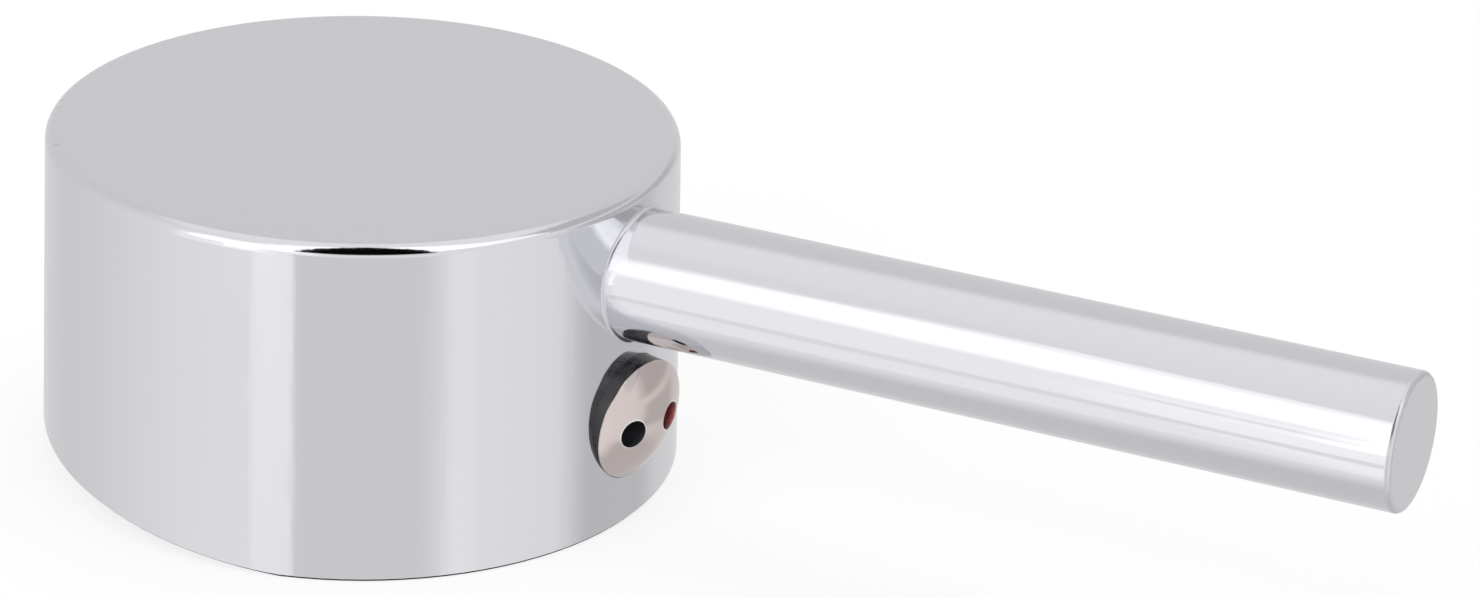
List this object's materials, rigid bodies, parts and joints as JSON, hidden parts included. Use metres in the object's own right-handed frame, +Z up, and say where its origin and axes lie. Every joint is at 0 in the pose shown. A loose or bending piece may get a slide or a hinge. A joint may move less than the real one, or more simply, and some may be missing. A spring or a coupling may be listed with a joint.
{
  "type": "single-lever tap handle",
  "caption": "Round chrome cap with a straight round lever, a square stem socket inside, and a hot and cold index plug over the grub screw.",
  "frame": {"origin": "on the cap's axis, in the plane of the front rim", "axes": "+Z up the cap's axis, +X towards the lever's tip, -Y the cold side"},
  "size_m": [0.1085, 0.049, 0.0263],
  "materials": {
    "plated_casting": "mirror polished chrome plate on cast zinc",
    "screw_steel": "plain machined stainless steel",
    "plug_plastic": "moulded plastic with a bright plated face",
    "dot_cold": "glossy, very dark blue",
    "dot_hot": "glossy red"
  },
  "bodies": {
    "root": {"handle_body": "plated_casting", "grub_screw": "screw_steel", "index_plug": "plug_plastic", "cold_dot": "dot_cold", "hot_dot": "dot_hot"}
  },
  "joints": []
}
